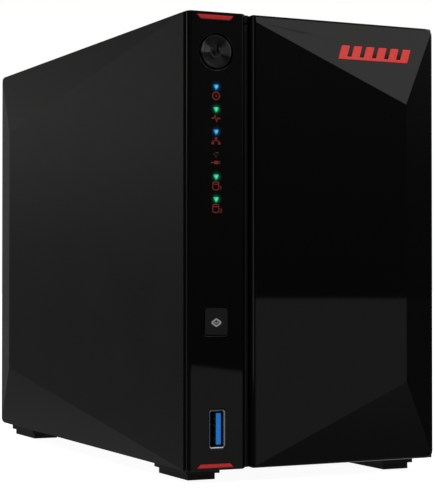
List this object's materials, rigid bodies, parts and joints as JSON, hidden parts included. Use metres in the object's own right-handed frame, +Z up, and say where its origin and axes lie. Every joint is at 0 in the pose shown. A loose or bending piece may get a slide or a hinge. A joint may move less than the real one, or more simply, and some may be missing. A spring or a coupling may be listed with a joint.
{
  "type": "network attached storage enclosure",
  "caption": "Desktop network storage box with a faceted pull-off front door, a control column with lights and a USB socket, drive trays on slides, a rear fan and a cover that slides off.",
  "frame": {"origin": "on the table plane under the middle of the body's footprint", "axes": "+Z up, -Y out of the front door, +X to the right as seen from the front"},
  "size_m": [0.102, 0.218, 0.165],
  "materials": {
    "matte_black": "fine matte texture",
    "gloss_black": "mirror gloss",
    "button_black": "spun dark satin",
    "inner_black": "satin moulded",
    "red": "gloss",
    "clear": "clear moulded plastic",
    "blue": "satin moulded",
    "steel": "plain bright sheet",
    "aluminium": "cast and machined",
    "board_green": "solder resist",
    "rubber": "matte"
  },
  "bodies": {
    "chassis": {"bottom_pan": "matte_black", "foot_pad_front_left": "rubber", "foot_pad_front_right": "rubber", "foot_pad_rear_left": "rubber", "foot_pad_rear_right": "rubber", "rear_panel": "matte_black", "front_bezel": "matte_black", "strike_plate_upper": "steel", "strike_plate_lower": "steel", "control_panel": "gloss_black", "accent_strip_top": "red", "accent_strip_bottom": "red", "light_pipe": "clear", "power_switch": "inner_black", "copy_switch": "inner_black", "front_board": "board_green", "front_usb_shell": "steel", "front_usb_tongue": "blue", "drive_cage": "steel", "backplane_board": "board_green", "sata_socket_1": "inner_black", "sata_socket_2": "inner_black", "main_board": "board_green", "heat_sink": "aluminium", "clock_battery": "steel", "buzzer": "inner_black", "rear_usb_upper_shell": "steel", "rear_usb_upper_tongue": "blue", "rear_usb_lower_shell": "steel", "rear_usb_lower_tongue": "blue", "network_jack": "steel", "power_jack": "inner_black", "fan_frame": "inner_black", "fan_screw_upper_left": "steel", "fan_screw_upper_right": "steel", "fan_screw_lower_left": "steel", "fan_screw_lower_right": "steel", "fan_cable": "inner_black"},
    "cover": {"outer_cover": "matte_black", "thumb_screw_left": "steel", "thumb_screw_right": "steel"},
    "door": {"front_door": "gloss_black", "door_emblem": "red", "door_magnet_upper": "steel", "door_magnet_lower": "steel"},
    "power_button_body": {"power_button": "button_black"},
    "copy_button_body": {"copy_button": "button_black"},
    "reset_button_body": {"reset_button": "inner_black"},
    "fan_rotor_body": {"fan_rotor": "inner_black"},
    "tray_1": {"tray_1_frame": "inner_black", "tray_1_hinge_pin": "steel", "hard_drive_1": "aluminium"},
    "handle_1": {"tray_1_handle": "inner_black"},
    "latch_1": {"tray_1_latch": "red"},
    "tray_2": {"tray_2_frame": "inner_black", "tray_2_hinge_pin": "steel", "hard_drive_2": "aluminium"},
    "handle_2": {"tray_2_handle": "inner_black"},
    "latch_2": {"tray_2_latch": "red"}
  },
  "joints": [
    {"name": "cover_slide", "type": "slide", "parent": "chassis", "child": "cover", "axis": [0, 1, 0], "range_m": [0, 0.22]},
    {"name": "tray_1_slide", "type": "slide", "parent": "chassis", "child": "tray_1", "axis": [0, -1, 0], "range_m": [0, 0.18]},
    {"name": "tray_2_slide", "type": "slide", "parent": "chassis", "child": "tray_2", "axis": [0, -1, 0], "range_m": [0, 0.18]},
    {"name": "door_pull", "type": "slide", "parent": "chassis", "child": "door", "axis": [0, -1, 0], "range_m": [0, 0.3]},
    {"name": "power_button_press", "type": "slide", "parent": "chassis", "child": "power_button_body", "axis": [0, 1, 0], "range_m": [0, 0.0008], "stiffness_N_per_m": 1500, "springref_m": -0.0004},
    {"name": "copy_button_press", "type": "slide", "parent": "chassis", "child": "copy_button_body", "axis": [0, 1, 0], "range_m": [0, 0.0008], "stiffness_N_per_m": 1500, "springref_m": -0.0004},
    {"name": "reset_button_press", "type": "slide", "parent": "chassis", "child": "reset_button_body", "axis": [0, -1, 0], "range_m": [0, 0.0008], "stiffness_N_per_m": 600, "springref_m": -0.0004},
    {"name": "fan_spin", "type": "hinge", "parent": "chassis", "child": "fan_rotor_body", "pos_m": [0.009, 0.09, 0.092], "axis": [0, 1, 0], "continuous": true},
    {"name": "handle_1_swing", "type": "hinge", "parent": "tray_1", "child": "handle_1", "pos_m": [-0.0064, -0.1013, 0.031], "axis": [1, 0, 0], "range_deg": [0, 40.2]},
    {"name": "latch_1_release", "type": "slide", "parent": "tray_1", "child": "latch_1", "axis": [0, 0, 1], "range_m": [0, 0.002], "stiffness_N_per_m": 600, "springref_m": -0.002},
    {"name": "handle_2_swing", "type": "hinge", "parent": "tray_2", "child": "handle_2", "pos_m": [0.0278, -0.1013, 0.031], "axis": [1, 0, 0], "range_deg": [0, 40.2]},
    {"name": "latch_2_release", "type": "slide", "parent": "tray_2", "child": "latch_2", "axis": [0, 0, 1], "range_m": [0, 0.002], "stiffness_N_per_m": 600, "springref_m": -0.002}
  ],
  "couplings": [
    {"joint": "door_pull", "follows": "tray_1_slide", "ratio": 1.6666},
    {"joint": "tray_2_slide", "follows": "tray_1_slide", "ratio": 1},
    {"joint": "handle_1_swing", "follows": "tray_1_slide", "rad_per_m": 3.88},
    {"joint": "handle_2_swing", "follows": "tray_1_slide", "rad_per_m": 3.88}
  ]
}
